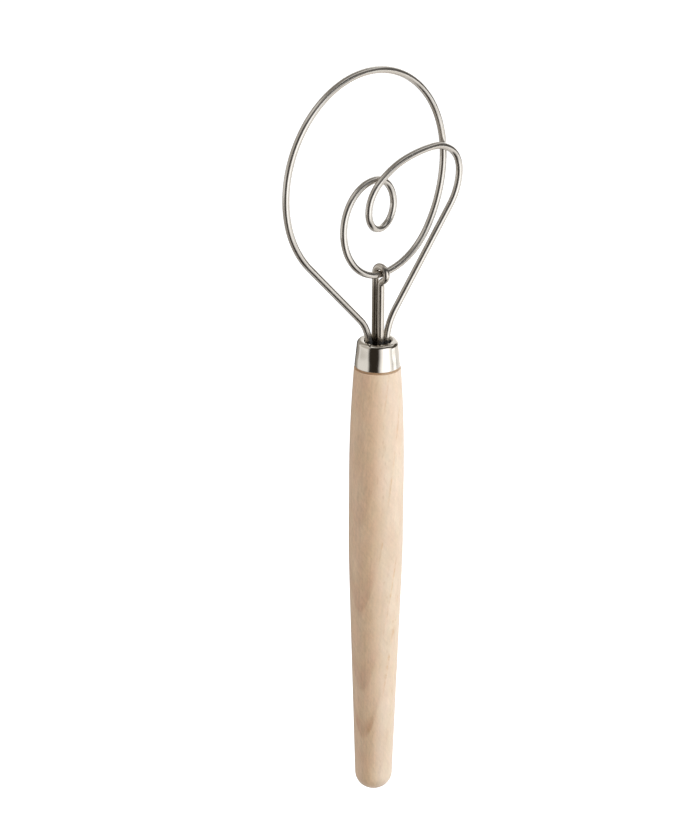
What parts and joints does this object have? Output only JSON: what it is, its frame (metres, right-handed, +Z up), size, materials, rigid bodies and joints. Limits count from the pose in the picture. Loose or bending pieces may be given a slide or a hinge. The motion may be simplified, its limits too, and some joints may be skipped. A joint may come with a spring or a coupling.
{
  "type": "dough whisk",
  "caption": "Dough whisk with a turned wooden handle, a steel ferrule and a flat head of stiff wire bent into nested loops, held at the middle by a hooked wire.",
  "frame": {"origin": "middle of the straight grip band, on the handle's axis", "axes": "+Z up the handle's axis to the wire head, +X to the head's tight shoulder bend, -Y the head's front"},
  "size_m": [0.1011, 0.024, 0.3404],
  "materials": {
    "beech": "fine sanded, unvarnished",
    "ferrule_steel": "mirror polished",
    "wire_steel": "bright drawn stainless",
    "adhesive": "cast, dull"
  },
  "bodies": {
    "root": {"handle": "beech", "ferrule": "ferrule_steel", "whisk_wire": "wire_steel", "hook_wire": "wire_steel", "bonding_plug": "adhesive"}
  },
  "joints": []
}
